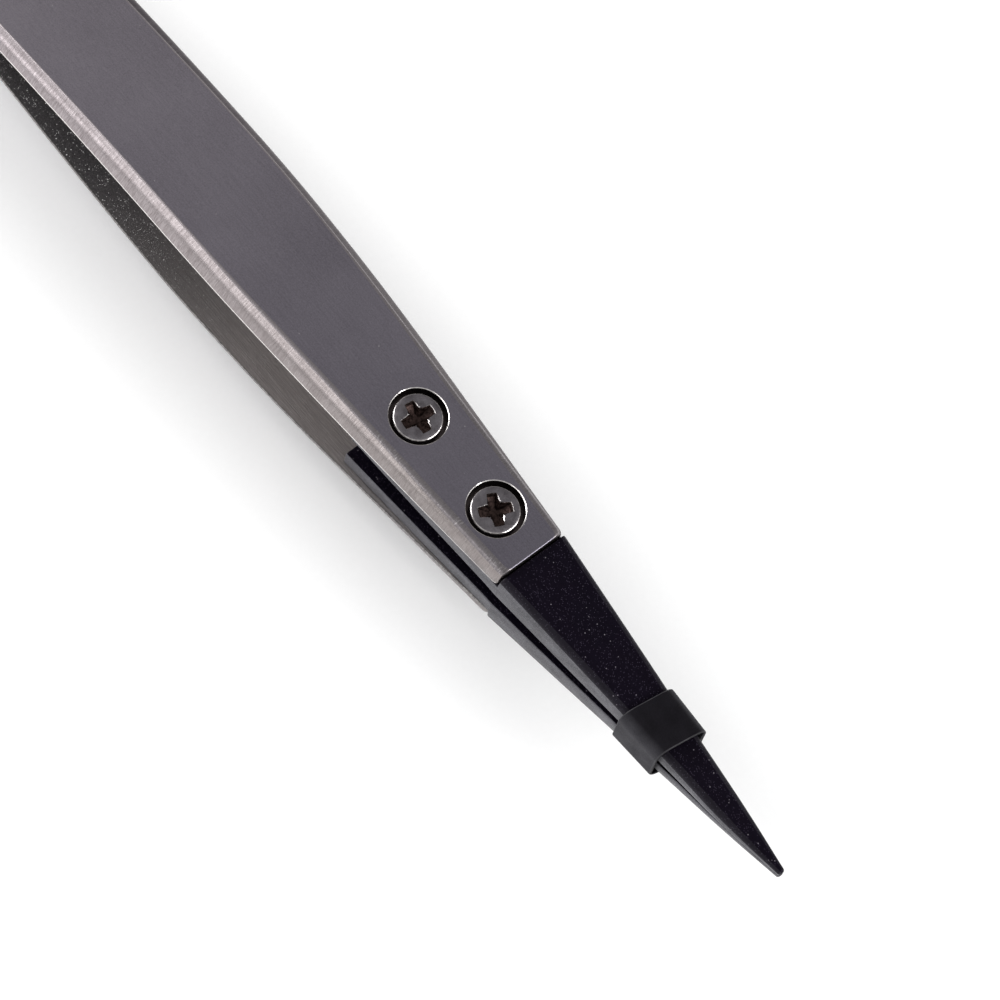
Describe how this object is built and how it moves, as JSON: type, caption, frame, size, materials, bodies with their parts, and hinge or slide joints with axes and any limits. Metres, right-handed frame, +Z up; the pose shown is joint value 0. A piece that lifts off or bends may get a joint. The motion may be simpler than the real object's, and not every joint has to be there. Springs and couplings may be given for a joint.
{
  "type": "precision tweezers",
  "caption": "Straight precision tweezers: sprung steel arms with screwed-on pointed plastic tips and a rubber ring that holds the tips closed.",
  "frame": {"origin": "middle of the length and width of the bounding box, at its lowest face", "axes": "+X along the tweezers towards the points, +Y across the arms, +Z up from the lower arm to the upper arm"},
  "size_m": [0.125, 0.0098, 0.0087],
  "materials": {
    "satin_steel": "satin stainless steel with bright ground side bevels",
    "weld_steel": "fused stainless steel",
    "screw_steel": "dark nickel with a polished rim",
    "antistatic_plastic": "matt black fibre-filled plastic with fine light specks",
    "ring_rubber": "matt black rubber"
  },
  "bodies": {
    "tail": {"upper_spring_leaf": "satin_steel", "lower_spring_leaf": "satin_steel", "spot_welds": "weld_steel"},
    "upper_jaw": {"upper_arm": "satin_steel", "upper_tip": "antistatic_plastic", "upper_front_screw": "screw_steel", "upper_rear_screw": "screw_steel"},
    "lower_jaw": {"lower_arm": "satin_steel", "lower_tip": "antistatic_plastic", "lower_front_screw": "screw_steel", "lower_rear_screw": "screw_steel"},
    "ring": {"tip_ring": "ring_rubber"}
  },
  "joints": [
    {"name": "upper_jaw_bend", "type": "hinge", "parent": "tail", "child": "upper_jaw", "pos_m": [-0.0295, 0, 0.00517], "axis": [0, -1, 0], "range_deg": [0, 2.5]},
    {"name": "lower_jaw_bend", "type": "hinge", "parent": "tail", "child": "lower_jaw", "pos_m": [-0.0295, 0, 0.00356], "axis": [0, -1, 0], "range_deg": [-2.5, 0]},
    {"name": "ring_slide", "type": "slide", "parent": "tail", "child": "ring", "axis": [1, 0, 0], "range_m": [0, 0.04]}
  ],
  "couplings": [
    {"joint": "lower_jaw_bend", "follows": "upper_jaw_bend", "ratio": -1},
    {"joint": "ring_slide", "follows": "upper_jaw_bend", "m_per_rad": 0.9}
  ]
}
